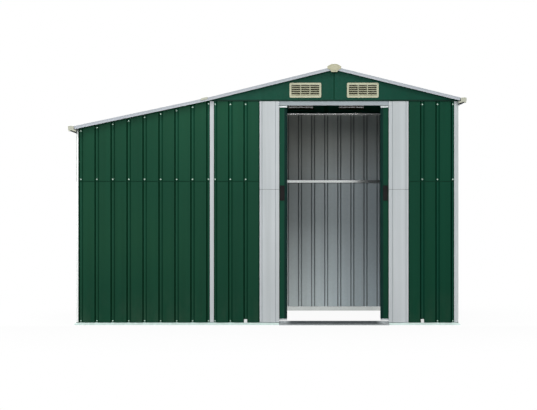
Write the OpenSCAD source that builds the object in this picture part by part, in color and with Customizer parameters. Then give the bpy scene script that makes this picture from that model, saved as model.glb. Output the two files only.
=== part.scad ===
// Metal storage shed: gabled main bay with a sliding double door and a lean-to bay at its left
// Millimetres. X runs along the front, Y to the back, Z up, ground at Z = 0

/* [Overall] */
// Width of the main bay over its wall sheets
main_w = 1938; // [1700:2:2300]
// Width of the lean-to bay over its wall sheets
lean_w = 1042; // [800:2:1300]
// Depth of the shed over its wall sheets
depth = 1930; // [1300:10:2600]
// Height of the main front and back walls, up to the gables
wall_h = 1747; // [1650:1:1950]

/* [Roof] */
// Pitch of the main roof in degrees
main_pitch = 13.8; // [10:0.1:18]
// Pitch of the lean-to roof in degrees
lean_pitch = 12; // [9:0.1:15]
// Roof overhang beyond the side walls
eave_overhang = 60; // [50:1:80]
// Roof overhang beyond the front and back walls
rake_overhang = 60; // [50:1:80]
// Height of the rake trims, square to the roof
rake_h = 24; // [22:1:30]
// Length of roof covered by an eave end cap
cap_w = 46; // [40:1:54]
// Reach of an eave trim over the edge of the roof sheet
eave_lap = 44; // [36:1:48]
// Height of an eave trim at its nose
eave_h = 30; // [26:1:36]
// Height of an eave trim where its soffit meets the wall
eave_foot = 44; // [40:1:50]
// Width of the ridge strip
ridge_w = 104; // [90:1:130]
// Width of the flat along the top of the ridge strip
ridge_flat = 38; // [30:1:50]
// Height of the ridge strip above the roof line
ridge_rise = 16; // [12:1:22]
// Depth of the ridge end cap below the roof line
ridge_cap_drop = 43; // [36:1:50]
// Width of the strip over the joint between the two roofs
junction_w = 60; // [54:1:80]
// Height of that strip above the roof line
junction_rise = 4; // [4:1:10]

/* [Ribbed sheet] */
// Thickness of the sheet steel
sheet_t = 1; // [0.8:0.1:1.2]
// Nominal spacing of the pressed grooves
rib_pitch = 118; // [100:1:140]
// Width of a groove at the face of the sheet
groove_w = 36; // [30:1:38]
// Width of the flat at the bottom of a groove
groove_floor = 14; // [8:1:16]
// Depth of a groove
groove_d = 10; // [6:1:12]
// Height of the seam between the lower and upper wall sheets
lap_z = 1124; // [1000:1:1250]
// Height over which the upper sheet laps the lower one
lap_h = 30; // [20:1:40]

/* [Base and frame] */
// How far the base skirt stands out from the wall
skirt_out = 20; // [12:1:30]
// Height of the base skirt, where the wall sheets begin
skirt_h = 20; // [16:1:26]
// Height of the inner leg of the base rails
base_leg_h = 38; // [32:1:48]
// Thickness of folded frame and trim steel
fold_t = 1.5; // [1.2:0.1:2]
// Depth of the wall rails
rail_d = 24; // [20:1:30]
// Height of the wall rails at mid height
rail_h = 21; // [18:1:36]
// Height of the rails along the wall heads
head_rail_h = 14; // [12:1:30]
// Width of the face of a corner post
post_w = 31; // [28:1:40]
// Height of the beam between the joining posts
mid_beam_h = 40; // [30:1:60]
// Width of the roof beams
roof_beam_w = 40; // [30:1:60]
// Height of the roof beams
roof_beam_h = 30; // [24:1:50]

/* [Doorway] */
// Width between the two door columns
opening_w = 856; // [800:2:900]
// Width of a door column
column_w = 153; // [140:1:170]
// Height of the seam across the door columns
column_seam_z = 1058; // [950:1:1200]
// Visible height of the header over the doors
header_h = 32; // [30:1:50]
// Reach of the ramped sill in front of the wall
sill_out = 54; // [35:1:58]
// Height of the back of the sill ramp
sill_h = 17; // [12:1:22]

/* [Doors] */
// Width of a door leaf
leaf_w = 452; // [440:1:480]
// Thickness of a door leaf
leaf_t = 16; // [14:1:18]
// Width of leaf left showing when a door is open
leaf_reveal = 62; // [56:1:70]
// Height of the seam across a door leaf
leaf_seam_z = 874; // [780:1:950]
// Height of the rails along the top and bottom of a leaf
leaf_rail_h = 15; // [12:1:18]
// Height of the middle of the door handles
handle_z = 1030; // [990:1:1060]
// Width of a door handle
handle_w = 36; // [26:1:42]
// Height of a door handle
handle_h = 119; // [90:1:130]
// Depth of the grip of a door handle
handle_d = 13; // [10:1:16]
// Radius of a hanger roller
roller_r = 8; // [6:0.5:9]
// Distance of each hanger from the edge of its leaf
hanger_inset = 90; // [40:1:110]

/* [Vents] */
// Width of a gable vent
vent_w = 247; // [200:1:280]
// Height of a gable vent
vent_h = 116; // [100:1:126]
// Distance of each vent from the middle of the gable
vent_x = 224; // [200:1:260]
// Height of the vent centres above the gable foot
vent_rise = 84; // [76:1:90]
// Width of the frame around the louvres
vent_border = 15; // [12:1:20]
// Depth of a vent in front of the gable
vent_d = 9; // [7:1:12]
// Number of open slots between the louvre blades
vent_slots = 5; // [4:1:6]

/* [Hidden] */
$fn = 48;
big = 8000;

// Clearances
seat = 0.5;
run_gap = 0.3;
seam_gap = 2.5;
gable_gap = 10;
lap_step = sheet_t * 1.8;

// Plan
x_right = (main_w + lean_w) / 2;
x_left = -x_right;
x_mid = x_right - main_w;
x_main = x_right - main_w / 2;
x_jamb_l = x_main - opening_w / 2;
x_jamb_r = x_main + opening_w / 2;
x_sill_l = x_jamb_l - fold_t - run_gap;
x_sill_r = x_jamb_r + fold_t + run_gap;

// Layers of the walls, measured outward from the face of the lower sheets
column_proud = 3;
gable_proud = 4;
track_room = 10;
v_groove = -(groove_d + sheet_t);
v_rail_in = v_groove - rail_d;
v_post = lap_step + fold_t + seat;
v_column = v_post + column_proud;
v_gable = v_column + fold_t + gable_proud;
v_plate = v_gable - fold_t - run_gap;
track_w = leaf_t + track_room;
v_track = v_rail_in - run_gap;
v_track_mid = v_track - track_w / 2;
v_leaf = v_track_mid + leaf_t / 2;

// Edges of the sheets and their first grooves, measured from the corners
corner_w = 15;
corner_margin = 1;
corner_groove = corner_w + corner_margin + groove_w / 2;
post_lap = 18;
post_margin = 9;
post_groove = post_w + post_margin;
edge_groove = 11;
joint_w = 3;
joint_x = x_mid + post_w / 2;

// Roof lines, along the top of the trims
roof_build = 28.5;
junction_out = 42;
ridge_z = wall_h + roof_build + tan(main_pitch) * main_w / 2;
x_junction = x_mid - junction_out;
z_junction = ridge_z - tan(main_pitch) * (x_main - x_junction);
roof_skin = fold_t + seat;
roof_depth = roof_skin + groove_d + sheet_t;
x_tip_r = x_right + eave_overhang;
x_tip_l = x_left - eave_overhang;
cap_depth = 18;
cap_out = 4;
sheet_rake = rake_overhang - cap_depth;
strip_hem = 6;
strip_lift = fold_t + run_gap;
rake_lap = 36;
rake_crease = 3;
eave_clear = 2;
eave_in = eave_overhang - v_post - eave_clear;
ridge_clear = 6;
joint_clear = 2;
tip_clear = 8;

// Heights in the doorway
header_z = wall_h - header_h;
header_lean = 8;
track_rise = 6;
track_z = header_z + track_rise;
track_h = wall_h - seat - track_z;
leaf_top = header_z - leaf_rail_h;
guide_h = 28;
guide_clear = 6;
foot_rail_h = 12;
leaf_bottom = guide_h + guide_clear + foot_rail_h;
leaf_x_l = x_jamb_l + leaf_reveal;
leaf_x_r = x_jamb_r - leaf_reveal;
leaf_groove_d = groove_d * 0.7;
leaf_edge = 10;
leaf_hem = 2;
track_run_on = 30;
track_half = opening_w / 2 + leaf_w - leaf_reveal + track_run_on;
handle_gap = 6;
rail_rise = 10;
mid_rail_z = lap_z + rail_rise;

// Louvres
vent_in_w = vent_w - 2 * vent_border;
vent_in_h = vent_h - 2 * vent_border;
vent_step = vent_in_h / (vent_slots + 0.5);
vent_lip = 0.45 * vent_step;
vent_brow = 0.22 * vent_step;
blade_h = 0.48 * vent_step;
blade_t = 2.5;
blade_tilt = 35;

green = [0.12, 0.29, 0.21];
white = [0.80, 0.82, 0.82];
zinc = [0.66, 0.68, 0.69];
beige = [0.80, 0.78, 0.67];
black = [0.10, 0.10, 0.11];

// Height of the roof line, and of the underside of the roof sheets, at a distance along the front
function pitch_at(x) = x >= x_junction ? main_pitch : lean_pitch;
function roof_z(x) = x >= x_junction
    ? ridge_z - tan(main_pitch) * abs(x - x_main)
    : z_junction - tan(lean_pitch) * (x_junction - x);
function under_roof(x) = roof_z(x) - roof_depth / cos(pitch_at(x)) - seat;

// A folded strip of steel: a path thickened by t to its left
function unit(v) = v / norm(v);
function side_of(p, i) = let(d = unit(p[i + 1] - p[i])) [-d[1], d[0]];
function miter_of(p, i) = i == 0 ? side_of(p, 0)
    : i == len(p) - 1 ? side_of(p, i - 1)
    : let(a = side_of(p, i - 1), b = side_of(p, i)) (a + b) / (1 + a * b);
function strip(p, t) = concat(p, [for (i = [len(p) - 1:-1:0]) p[i] + t * miter_of(p, i)]);
function shift(p, v) = [for (q = p) q + v];
function two_sided(p) = concat([for (q = p) [-q[0], q[1]]], [for (i = [len(p) - 1:-1:0]) p[i]]);

// Line of a ribbed sheet from a to b, with grooves from first to last
function groove(c, d) = [
    [c - groove_w / 2, 0], [c - groove_floor / 2, -d], [c + groove_floor / 2, -d], [c + groove_w / 2, 0]
];
function grooves(first, last, d) = let(n = max(1, round((last - first) / rib_pitch)))
    [for (i = [0:n]) each groove(first + i * (last - first) / n, d)];
function ribbed(a, b, first, last) = concat([[a, 0]], grooves(first, last, groove_d), [[b, 0]]);

// Places for the walls: u along the wall, v outward, z up
module on_front() {
    translate([0, -depth / 2, 0]) mirror([0, 1, 0]) children();
}

module on_back() {
    translate([0, depth / 2, 0]) children();
}

module on_right() {
    translate([x_right, 0, 0]) rotate([0, 0, -90]) children();
}

module on_left() {
    translate([x_left, 0, 0]) rotate([0, 0, 90]) children();
}

// Places for the roof slopes: x down the slope, z square to it
module on_main_right() {
    translate([x_main, 0, ridge_z]) rotate([0, main_pitch, 0]) children();
}

module on_main_left() {
    translate([x_main, 0, ridge_z]) mirror([1, 0, 0]) rotate([0, main_pitch, 0]) children();
}

module on_lean() {
    translate([x_junction, 0, z_junction]) mirror([1, 0, 0]) rotate([0, lean_pitch, 0]) children();
}

// Extrusions of a drawn profile up, along x, along y and across a v range
module up(z0, z1) {
    translate([0, 0, z0]) linear_extrude(z1 - z0) children();
}

module along_x(x0, x1) {
    translate([x0, 0, 0]) rotate([90, 0, 90]) linear_extrude(x1 - x0) children();
}

module along_y(half) {
    rotate([90, 0, 0]) linear_extrude(2 * half, center = true) children();
}

module across(v0, v1) {
    translate([0, v1, 0]) rotate([90, 0, 0]) linear_extrude(v1 - v0) children();
}

module keep_between(x0, x1) {
    intersection() {
        children();
        translate([x0, -big / 2, -big / 2]) cube([x1 - x0, big, big]);
    }
}

module rounded(w, h, r) {
    square([w - 2 * r, h], center = true);
    square([w, h - 2 * r], center = true);
    for (x = [-1, 1], y = [-1, 1])
        translate([x * (w / 2 - r), y * (h / 2 - r)]) circle(r);
}

// Base rails with a mitre at the corners they reach
module base_rail(u0, u1, corner0, corner1) {
    lip = 4;
    lip_drop = 3;
    far = 2 * (skirt_out - v_groove);
    out0 = corner0 ? far : 0;
    out1 = corner1 ? far : 0;
    path = [
        [v_groove - fold_t, base_leg_h], [v_groove - fold_t, 0],
        [skirt_out, 0], [lip, skirt_h - lip_drop]
    ];
    color(white) intersection() {
        along_x(u0 - far, u1 + far) polygon(strip(path, fold_t));
        up(0, base_leg_h) polygon([
            [u0 - out0 + seat / 2, far], [u0 + out0 + seat / 2, -far],
            [u1 - out1 - seat / 2, -far], [u1 + out1 - seat / 2, far]
        ]);
    }
}

module front_base_rails() {
    on_front() {
        base_rail(x_left, x_sill_l, true, false);
        base_rail(x_sill_r, x_right, false, true);
    }
}

module back_base_rail() {
    on_back() base_rail(x_left, x_right, true, true);
}

module side_base_rails() {
    on_left() base_rail(-depth / 2, depth / 2, true, true);
    on_right() base_rail(-depth / 2, depth / 2, true, true);
}

module door_sill() {
    back = v_track + run_gap;
    crest = -4;
    nose_w = 8;
    nose_h = 4;
    path = [
        [back, 0], [back, sill_h], [crest, sill_h],
        [sill_out - nose_w, nose_h], [sill_out, nose_h], [sill_out, 0]
    ];
    color(zinc) on_front() along_x(x_sill_l + run_gap, x_sill_r - run_gap) polygon(path);
}

module door_guide() {
    inner = v_track - track_w;
    path = [[inner, guide_h], [inner, 0], [v_track, 0], [v_track, guide_h]];
    color(zinc) on_front() along_x(x_main - track_half, x_main + track_half)
        polygon(strip(path, fold_t));
}

// Corner bead of the lean-to, between the ends of the sheets
module corner_bead() {
    lip = corner_w - seat;
    path = [[lip, -groove_d], [lip, 0], [0, -lip], [groove_d, -lip]];
    color(white) up(skirt_h, under_roof(x_left - lap_step) - seat) polygon(strip(path, fold_t));
}

module left_posts() {
    on_front() translate([x_left, 0, 0]) corner_bead();
    on_back() translate([x_left, 0, 0]) corner_bead();
}

// H-shaped post that joins the main and lean-to sheets
module joining_post() {
    top = wall_h - seat;
    inner = v_groove - fold_t;
    color(white) {
        up(skirt_h, top) translate([x_mid, v_post - fold_t]) square([post_w, fold_t]);
        up(base_leg_h + seat, top) {
            translate([joint_x - joint_w / 2, inner]) square([joint_w, v_post - inner - fold_t / 2]);
            translate([x_mid, inner]) square([post_w, fold_t - seat]);
        }
    }
}

module mid_posts() {
    on_front() joining_post();
    on_back() joining_post();
}

// Corner post of the main bay, with a chamfered corner over the sheet ends
module corner_post() {
    margin = 2;
    bend = post_w / 2 - margin;
    path = [[-post_w, v_post], [-bend, v_post], [v_post, -bend], [v_post, -post_w]];
    color(white) up(skirt_h, wall_h - seat) polygon(strip(path, -fold_t));
}

module right_posts() {
    on_front() translate([x_right, 0, 0]) corner_post();
    on_back() translate([x_right, 0, 0]) corner_post();
}

// Lower and upper ribbed sheets of a wall
module wall_sheets(a, b, first, last, top) {
    line = ribbed(a, b, first, last);
    color(green) {
        up(skirt_h, lap_z + lap_h) polygon(strip(line, -sheet_t));
        up(lap_z, top) polygon(strip(shift(line, [0, lap_step]), -sheet_t));
    }
}

module front_left_wall() {
    last = x_jamb_l - column_w + edge_groove;
    on_front() wall_sheets(joint_x + joint_w, last + groove_w, x_mid + post_groove, last, wall_h - seat);
}

module front_right_wall() {
    first = x_jamb_r + column_w - edge_groove;
    on_front() wall_sheets(first - groove_w, x_right - post_lap, first, x_right - post_groove, wall_h - seat);
}

module lean_to_sheets() {
    far = x_mid + post_w;
    intersection() {
        wall_sheets(
            x_left + corner_w, joint_x - joint_w, x_left + corner_groove, x_mid - edge_groove, ridge_z
        );
        across(-big / 2, big / 2) polygon([
            [x_tip_l, 0], [far, 0], [far, under_roof(far) - seat],
            [x_junction, under_roof(x_junction) - seat], [x_tip_l, under_roof(x_tip_l) - seat]
        ]);
    }
}

module lean_to_front_wall() {
    on_front() lean_to_sheets();
}

module lean_to_back_wall() {
    on_back() lean_to_sheets();
}

module back_wall() {
    on_back() wall_sheets(
        joint_x + joint_w, x_right - post_lap, x_mid + post_groove, x_right - post_groove, wall_h - seat
    );
}

module left_wall() {
    half = depth / 2 - corner_w;
    last = depth / 2 - corner_groove;
    on_left() wall_sheets(-half, half, -last, last, under_roof(x_left - lap_step) - seat);
}

module right_wall() {
    half = depth / 2 - post_lap;
    last = depth / 2 - post_groove;
    on_right() wall_sheets(-half, half, -last, last, under_roof(x_right + lap_step) - seat);
}

// Channel rails behind the sheets, with their web to the room
module wall_rail(u0, u1, z, h) {
    path = [[v_groove, z + h], [v_rail_in, z + h], [v_rail_in, z], [v_groove, z]];
    color(white) along_x(u0, u1) polygon(strip(path, fold_t));
}

module lean_to_rails() {
    start = x_left - v_groove + seat;
    end = x_mid - seat;
    head = -roof_depth - seat - head_rail_h;
    wall_rail(start, end, mid_rail_z, rail_h);
    keep_between(start, end) on_lean()
        wall_rail(-2 * junction_out, (x_junction - x_tip_l) / cos(lean_pitch), head, head_rail_h);
}

module main_rail(u0, u1) {
    wall_rail(u0, u1, mid_rail_z, rail_h);
}

module main_head_rail() {
    wall_rail(x_mid + post_w + seat, x_right + v_groove - seat, wall_h - head_rail_h, head_rail_h);
}

module front_wall_rails() {
    on_front() {
        lean_to_rails();
        main_rail(x_mid + post_w + seat, x_sill_l);
        main_rail(x_sill_r, x_right + v_groove - seat);
        main_head_rail();
    }
}

module back_wall_rails() {
    on_back() {
        lean_to_rails();
        main_rail(x_mid + post_w + seat, x_right + v_groove - seat);
        main_head_rail();
    }
}

module side_rails(head_z) {
    half = depth / 2 + v_rail_in - seat;
    wall_rail(-half, half, mid_rail_z, rail_h);
    wall_rail(-half, half, head_z - head_rail_h, head_rail_h);
}

module side_wall_rails() {
    on_left() side_rails(under_roof(x_left - v_groove));
    on_right() side_rails(under_roof(x_right + v_groove));
}

// Beam between the mid posts, under the left eave of the main roof
module mid_beam() {
    a = x_mid + fold_t;
    b = x_mid + post_w - fold_t;
    top = under_roof(a);
    low = top - mid_beam_h;
    color(white) along_y(depth / 2 + v_groove - fold_t - run_gap)
        polygon(strip([[a, low], [a, top], [b, top], [b, low]], -fold_t));
}

// Column beside the doorway, drawn from its outer edge at 0 to the jamb
module door_column() {
    bead = 3;
    bead_d = 2.5;
    outer = 19;
    inner_edge = 28;
    back_gap = 3;
    low = v_column - bead_d;
    inner = column_w - inner_edge;
    path = [
        [0, lap_step + fold_t], [0, v_column],
        [outer - bead, v_column], [outer, low], [outer + bead, v_column],
        [inner - bead, v_column], [inner, low], [inner + bead, v_column],
        [column_w, v_column], [column_w, v_rail_in + back_gap]
    ];
    color(white) {
        up(skirt_h, column_seam_z - seam_gap / 2) polygon(strip(path, -fold_t));
        difference() {
            up(column_seam_z + seam_gap / 2, wall_h - seat) polygon(strip(path, -fold_t));
            translate([inner, v_rail_in, wall_h - head_rail_h - seat])
                cube([column_w, rail_d + seat, head_rail_h]);
        }
    }
}

module left_door_column() {
    on_front() translate([x_jamb_l - column_w, 0, 0]) door_column();
}

module right_door_column() {
    on_front() translate([x_jamb_r + column_w, 0, 0]) mirror([1, 0, 0]) door_column();
}

module door_header() {
    back_gap = 1;
    path = [
        [v_post, wall_h - seat], [v_post - header_lean, header_z], [v_rail_in + back_gap, header_z]
    ];
    color(white) on_front() along_x(x_jamb_l + seat, x_jamb_r - seat) polygon(strip(path, -fold_t));
}

// Hanging track, slotted below for the roller stems
module door_track() {
    slot = 8;
    a = v_track - track_w;
    top = track_z + track_h;
    path = [
        [v_track_mid - slot / 2, track_z], [a, track_z], [a, top],
        [v_track, top], [v_track, track_z], [v_track_mid + slot / 2, track_z]
    ];
    color(zinc) on_front() along_x(x_main - track_half, x_main + track_half)
        polygon(strip(path, -fold_t));
}

// Gable in two halves, hemmed over the wall head, with a plate behind the seam and a return at the corner
module gable_half(u0, u1, cut_x) {
    difference() {
        union() {
            across(v_gable - fold_t, v_gable) polygon([
                [u0, wall_h], [u1, wall_h], [u1, under_roof(u1)], [u0, under_roof(u0)]
            ]);
            translate([u0, v_groove, wall_h]) cube([u1 - u0, v_gable - v_groove, fold_t]);
        }
        translate([x_main + cut_x, 0, wall_h + vent_rise]) across(-big / 2, big / 2)
            square([vent_in_w, vent_in_h], center = true);
    }
}

module gable_plate() {
    half = 20;
    low = wall_h + fold_t + seat;
    top = under_roof(x_main + half) - seat;
    translate([x_main - half, v_plate - fold_t, low]) cube([2 * half, fold_t, top - low]);
}

module gable() {
    end = x_right + v_post;
    color(green) {
        gable_half(joint_x, x_main - gable_gap / 2, -vent_x);
        gable_half(x_main + gable_gap / 2, end, vent_x);
        gable_plate();
        translate([end - fold_t, -post_w, wall_h]) cube([fold_t, v_gable + post_w, under_roof(end) - wall_h]);
    }
}

module front_gable() {
    on_front() gable();
}

module back_gable() {
    on_back() gable();
}

// Louvred vent: a rounded frame, blades that shed water outward between a brow and a lip, two upright bars
module vent() {
    bar_w = 6;
    root = 2;
    inset = 1;
    mid = vent_d / 2;
    color(beige) {
        difference() {
            across(0, vent_d) rounded(vent_w, vent_h, vent_border * 0.7);
            across(-inset, vent_d + inset) square([vent_in_w, vent_in_h], center = true);
        }
        for (i = [1:vent_slots])
            translate([0, mid, vent_in_h / 2 - i * vent_step]) rotate([blade_tilt, 0, 0])
                cube([vent_in_w + root, blade_t, blade_h], center = true);
        translate([-vent_in_w / 2 - root / 2, inset, -vent_in_h / 2 - root / 2])
            cube([vent_in_w + root, blade_t, vent_lip + root / 2]);
        translate([-vent_in_w / 2 - root / 2, inset, vent_in_h / 2 - vent_brow])
            cube([vent_in_w + root, blade_t, vent_brow + root / 2]);
        for (x = [-1, 1])
            translate([x * vent_in_w / 6, mid, 0]) cube([bar_w, mid, vent_in_h + root], center = true);
    }
}

module vent_pair() {
    for (x = [-vent_x, vent_x])
        translate([x_main + x, v_gable, wall_h + vent_rise]) vent();
}

module front_vents() {
    on_front() vent_pair();
}

module back_vents() {
    on_back() vent_pair();
}

// Roof sheets, ribbed down the slope
module roof_sheet(x0, x1) {
    half = depth / 2 + sheet_rake;
    last = depth / 2 - post_groove;
    line = shift(ribbed(-half, half, -last, last), [0, -roof_skin]);
    color(green) along_x(x0, x1) polygon(strip(line, -sheet_t));
}

module roof_left() {
    on_main_left() roof_sheet(ridge_clear, (x_main - x_junction) / cos(main_pitch) - joint_clear);
}

module roof_right() {
    on_main_right() roof_sheet(ridge_clear, (x_tip_r - x_main - tip_clear) / cos(main_pitch));
}

module lean_to_roof() {
    on_lean() roof_sheet(joint_clear, (x_junction - x_tip_l - tip_clear) / cos(lean_pitch));
}

// Channel beams under the ridge and the middle of each slope
module beam_profile(x, top) {
    a = x - roof_beam_w / 2;
    b = x + roof_beam_w / 2;
    low = top - roof_beam_h;
    polygon(strip([[a, low], [a, top], [b, top], [b, low]], -fold_t));
}

module roof_beams() {
    half = depth / 2 + v_plate - fold_t - seat;
    low = -roof_depth - seat;
    color(white) {
        along_y(half) beam_profile(x_main, under_roof(x_main + roof_beam_w / 2));
        on_main_left() along_y(half) beam_profile(main_w / 4, low);
        on_main_right() along_y(half) beam_profile(main_w / 4, low);
        on_lean() along_y(depth / 2 + v_rail_in - seat) beam_profile(lean_w / 2, low);
    }
}

// Folded strips over the ridge and over the joint between the two roofs
module ridge_strip() {
    m = tan(main_pitch);
    edge = ridge_w / 2;
    shoulder = edge - strip_hem;
    half = [
        [edge, strip_lift - edge * m], [shoulder, strip_hem + strip_lift - shoulder * m],
        [ridge_flat / 2, ridge_rise]
    ];
    color(white) translate([x_main, 0, ridge_z]) along_y(depth / 2 + rake_overhang)
        polygon(strip(two_sided(half), -fold_t));
}

module junction_strip() {
    m = tan(main_pitch);
    n = tan(lean_pitch);
    edge = junction_w / 2;
    shoulder = edge - strip_hem;
    path = [
        [-edge, strip_lift - edge * n], [-shoulder, junction_rise - shoulder * n],
        [shoulder, junction_rise + shoulder * m], [edge, strip_lift + edge * m]
    ];
    color(white) translate([x_junction, 0, z_junction]) along_y(depth / 2 + rake_overhang)
        polygon(strip(path, -fold_t));
}

// Rake trims, folded over the front and back edges of the roof sheets
module rake_trim(length) {
    path = [
        [rake_overhang - rake_lap, 0], [rake_overhang, 0],
        [rake_overhang - rake_crease, -rake_h / 2], [rake_overhang, -rake_h]
    ];
    color(white) along_x(-rake_h, length) polygon(strip(path, -fold_t));
}

module rake_trims() {
    keep_between(x_main + seat / 2, big)
        on_main_right() rake_trim((x_tip_r - cap_w - x_main) / cos(main_pitch));
    keep_between(x_junction + seat / 2, x_main - seat / 2) on_main_left() rake_trim(main_w);
    keep_between(-big, x_junction - seat / 2)
        on_lean() rake_trim((x_junction - x_tip_l - cap_w) / cos(lean_pitch));
}

module front_rake_trims() {
    on_front() rake_trims();
}

module back_rake_trims() {
    on_back() rake_trims();
}

// Places for the eave tips: x outward from the tip, z from the roof line
module at_right_tip() {
    translate([x_tip_r, 0, roof_z(x_tip_r)]) children();
}

module at_left_tip() {
    translate([x_tip_l, 0, roof_z(x_tip_l)]) mirror([1, 0, 0]) children();
}

module eave_trim(pitch) {
    m = tan(pitch);
    nose = 7;
    lift = 1;
    tip_in = 2;
    tip_drop = 3;
    curl = 4;
    path = [
        [-eave_lap, eave_lap * m], [-nose, lift + nose * m], [-tip_in, -tip_drop],
        [-nose, curl - eave_h], [-eave_in, -eave_foot]
    ];
    color(white) along_y(depth / 2 + sheet_rake) polygon(strip(path, -fold_t));
}

module eave_trims() {
    at_right_tip() eave_trim(main_pitch);
    at_left_tip() eave_trim(lean_pitch);
}

// Moulded caps that close the ends of the ridge, joint and eave trims
module eave_cap() {
    ease = 3;
    brow = 6;
    toe = 5;
    sole = 14;
    heel = 20;
    heel_rise = 8;
    foot_rise = 10;
    past_wall = 2;
    inner = seat - cap_w;
    far = -eave_overhang - past_wall;
    crown = rake_h * 0.5;
    lobe = -rake_h * 0.76;
    color(beige) across(sheet_rake + seat, rake_overhang + cap_out) polygon([
        [inner, crown - ease], [inner * 0.55, crown], [inner * 0.3, crown], [0, crown - ease],
        [0, -brow], [-toe, -eave_h], [-sole, -eave_h], [-heel, heel_rise - eave_h],
        [far, foot_rise - eave_foot], [far, lobe], [inner, lobe]
    ]);
}

module ridge_cap() {
    margin = 2;
    crown = 3;
    flare = 4;
    neck = 20;
    lift = 1;
    wing_rise = 5;
    boss = 0.72;
    v = rake_overhang + run_gap;
    wing = ridge_w / 2 + margin;
    rim = two_sided([
        [ridge_flat / 2 + flare, -ridge_cap_drop], [wing - neck, lift - rake_h],
        [wing - margin, wing_rise - rake_h], [wing, lift],
        [ridge_flat / 2 + margin, ridge_rise + crown]
    ]);
    color(beige) translate([x_main, 0, ridge_z]) {
        across(v, v + cap_out / 2) polygon(rim);
        across(v, rake_overhang + cap_out) polygon(boss * rim);
    }
}

module junction_cap() {
    m = tan(main_pitch);
    n = tan(lean_pitch);
    margin = 3;
    crown = 2;
    cheek = 5;
    edge = junction_w / 2 - margin;
    shoulder = edge - strip_hem;
    top = junction_rise + crown;
    low = -rake_h / 2;
    color(beige) translate([x_junction, 0, z_junction])
        across(rake_overhang + run_gap, rake_overhang + cap_out) polygon([
            [-edge, top - cheek - edge * n], [-shoulder, top - shoulder * n],
            [shoulder, top + shoulder * m], [edge, top - cheek + edge * m],
            [edge - margin, low + edge * m], [margin - edge, low - edge * n]
        ]);
}

module end_caps() {
    ridge_cap();
    junction_cap();
    at_right_tip() eave_cap();
    at_left_tip() eave_cap();
}

module front_end_caps() {
    on_front() end_caps();
}

module back_end_caps() {
    on_back() end_caps();
}

// Door leaves, drawn from the leading edge at 0 to the trailing edge
module at_left_leaf() {
    on_front() translate([leaf_x_l, v_leaf, 0]) mirror([1, 0, 0]) children();
}

module at_right_leaf() {
    on_front() translate([leaf_x_r, v_leaf, 0]) children();
}

function leaf_line(inset) = concat(
    [[inset, leaf_hem - leaf_t], [inset, -leaf_edge], [leaf_edge, -inset]],
    shift(grooves(leaf_w * 0.25, leaf_w * 0.75, leaf_groove_d), [0, -inset]),
    [[leaf_w - leaf_edge, -inset], [leaf_w - inset, -leaf_edge], [leaf_w - inset, leaf_hem - leaf_t]]
);

module leaf_sheets() {
    color(green) {
        up(leaf_bottom, leaf_seam_z + lap_h) polygon(strip(leaf_line(lap_step), -sheet_t));
        up(leaf_seam_z, leaf_top) polygon(strip(leaf_line(0), -sheet_t));
    }
}

module leaf_rails() {
    color(white) {
        translate([0, -leaf_t, leaf_top]) cube([leaf_w, leaf_t, leaf_rail_h - seat]);
        translate([0, -leaf_t, leaf_bottom - foot_rail_h]) cube([leaf_w, leaf_t, foot_rail_h]);
    }
}

// Hanger rollers in the track and guide shoes in the bottom channel
module leaf_rollers() {
    rail_top = leaf_top + leaf_rail_h - seat;
    axle_z = track_z + fold_t + run_gap + roller_r;
    axle_r = 3;
    wheel_w = 6;
    stem_w = 20;
    stem_t = 4;
    side_gap = 1;
    span = track_w - 2 * (fold_t + side_gap);
    shoe_l = 40;
    shoe_gap = 2;
    shoe_w = track_w - 2 * (fold_t + shoe_gap);
    shoe_z = fold_t + guide_clear;
    color(black) for (x = [hanger_inset, leaf_w - hanger_inset])
        translate([x, -leaf_t / 2, 0]) {
            translate([-stem_w / 2, -stem_t / 2, rail_top]) cube([stem_w, stem_t, axle_z - rail_top]);
            translate([0, 0, axle_z]) rotate([90, 0, 0]) {
                cylinder(h = span, r = axle_r, center = true);
                for (side = [-1, 1]) translate([0, 0, side * (span - wheel_w) / 2])
                    cylinder(h = wheel_w, r = roller_r, center = true);
            }
            translate([-shoe_l / 2, -shoe_w / 2, shoe_z])
                cube([shoe_l, shoe_w, leaf_bottom - foot_rail_h - shoe_z]);
        }
}

// Pull handle: a back plate with a raised grip beside the jamb
module leaf_handle() {
    plate = 4;
    plate_r = 5;
    grip_x = 1;
    grip_side = 5;
    grip_end = 4;
    grip_r = 6;
    color(black) translate([leaf_reveal - handle_gap - handle_w / 2, 0, handle_z]) {
        across(0, plate) rounded(handle_w, handle_h, plate_r);
        translate([grip_x, 0, 0]) across(0, handle_d)
            rounded(handle_w - 2 * grip_side, handle_h - 2 * grip_end, grip_r);
    }
}

module left_door_leaf() {
    at_left_leaf() leaf_sheets();
}

module left_door_rails() {
    at_left_leaf() leaf_rails();
}

module left_door_rollers() {
    at_left_leaf() leaf_rollers();
}

module left_door_handle() {
    at_left_leaf() leaf_handle();
}

module right_door_leaf() {
    at_right_leaf() leaf_sheets();
}

module right_door_rails() {
    at_right_leaf() leaf_rails();
}

module right_door_rollers() {
    at_right_leaf() leaf_rollers();
}

module right_door_handle() {
    at_right_leaf() leaf_handle();
}

front_base_rails();
back_base_rail();
side_base_rails();
door_sill();
door_guide();
left_posts();
mid_posts();
right_posts();
front_left_wall();
front_right_wall();
lean_to_front_wall();
lean_to_back_wall();
back_wall();
left_wall();
right_wall();
front_wall_rails();
back_wall_rails();
side_wall_rails();
mid_beam();
left_door_column();
right_door_column();
door_header();
door_track();
front_gable();
back_gable();
front_vents();
back_vents();
roof_left();
roof_right();
lean_to_roof();
roof_beams();
ridge_strip();
junction_strip();
front_rake_trims();
back_rake_trims();
eave_trims();
front_end_caps();
back_end_caps();
left_door_leaf();
left_door_rails();
left_door_rollers();
left_door_handle();
right_door_leaf();
right_door_rails();
right_door_rollers();
right_door_handle();
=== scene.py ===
"""Looks of the metal storage shed: coats, screws, seals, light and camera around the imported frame."""

import math

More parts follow.
